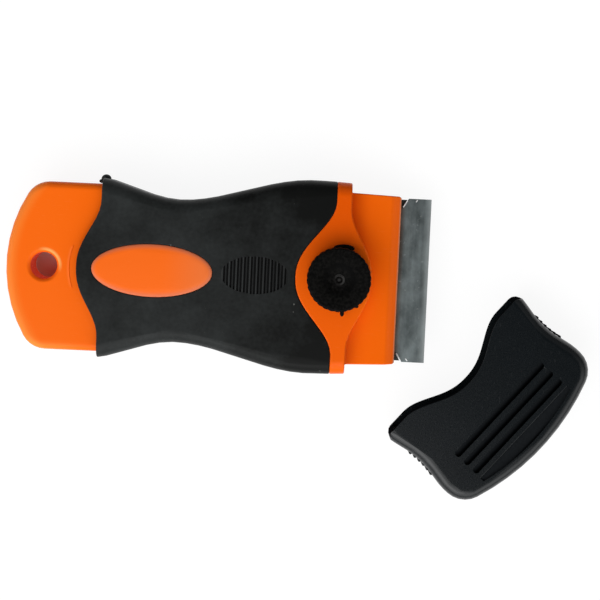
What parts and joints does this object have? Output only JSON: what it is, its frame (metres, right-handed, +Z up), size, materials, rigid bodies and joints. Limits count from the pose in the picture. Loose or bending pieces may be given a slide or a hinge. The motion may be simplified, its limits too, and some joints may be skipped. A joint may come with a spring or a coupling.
{
  "type": "razor blade scraper",
  "caption": "Hand scraper for a single-edge razor blade: waisted soft-grip handle with a hanging hole, a screw clamp worked by a thumb knob, and a slotted blade cap lying beside it.",
  "frame": {"origin": "middle of the hanging hole, on its axis, in the plane where the two shells part", "axes": "+X from the hanging hole to the blade, +Z up from the lower grip to the knob, the tool's plane of symmetry at y = 0"},
  "size_m": [0.1387, 0.0744, 0.0191],
  "materials": {
    "orange_plastic": "satin moulded plastic",
    "soft_grip": "matte soft overmould",
    "black_plastic": "fine-grained moulded plastic",
    "blade_steel": "blued grey rolled steel with a ground edge",
    "fastener_steel": "zinc plated"
  },
  "bodies": {
    "handle": {"upper_shell": "orange_plastic", "lower_shell": "orange_plastic", "upper_grip": "soft_grip", "lower_grip": "soft_grip", "shell_screws": "fastener_steel"},
    "knob": {"knob": "black_plastic", "knob_bolt": "fastener_steel", "push_washer": "fastener_steel"},
    "clamp": {"clamp_plate": "black_plastic", "clamp_nut": "fastener_steel"},
    "blade": {"blade": "blade_steel", "blade_spine": "blade_steel"},
    "cap": {"blade_cap": "black_plastic"}
  },
  "joints": [
    {"name": "knob_turn", "type": "hinge", "parent": "handle", "child": "knob", "pos_m": [0.0695, 0, 0], "axis": [0, 0, 1], "range_deg": [0, 720]},
    {"name": "clamp_open", "type": "slide", "parent": "handle", "child": "clamp", "axis": [0, 0, -1], "range_m": [0, 0.0014]},
    {"name": "blade_slide", "type": "slide", "parent": "handle", "child": "blade", "axis": [1, 0, 0], "range_m": [0, 0.0125]},
    {"name": "cap_lift", "type": "slide", "parent": "handle", "child": "cap", "axis": [0, 0, 1], "range_m": [0, 0.04]}
  ],
  "couplings": [
    {"joint": "knob_turn", "follows": "clamp_open", "rad_per_m": 8975.9}
  ]
}
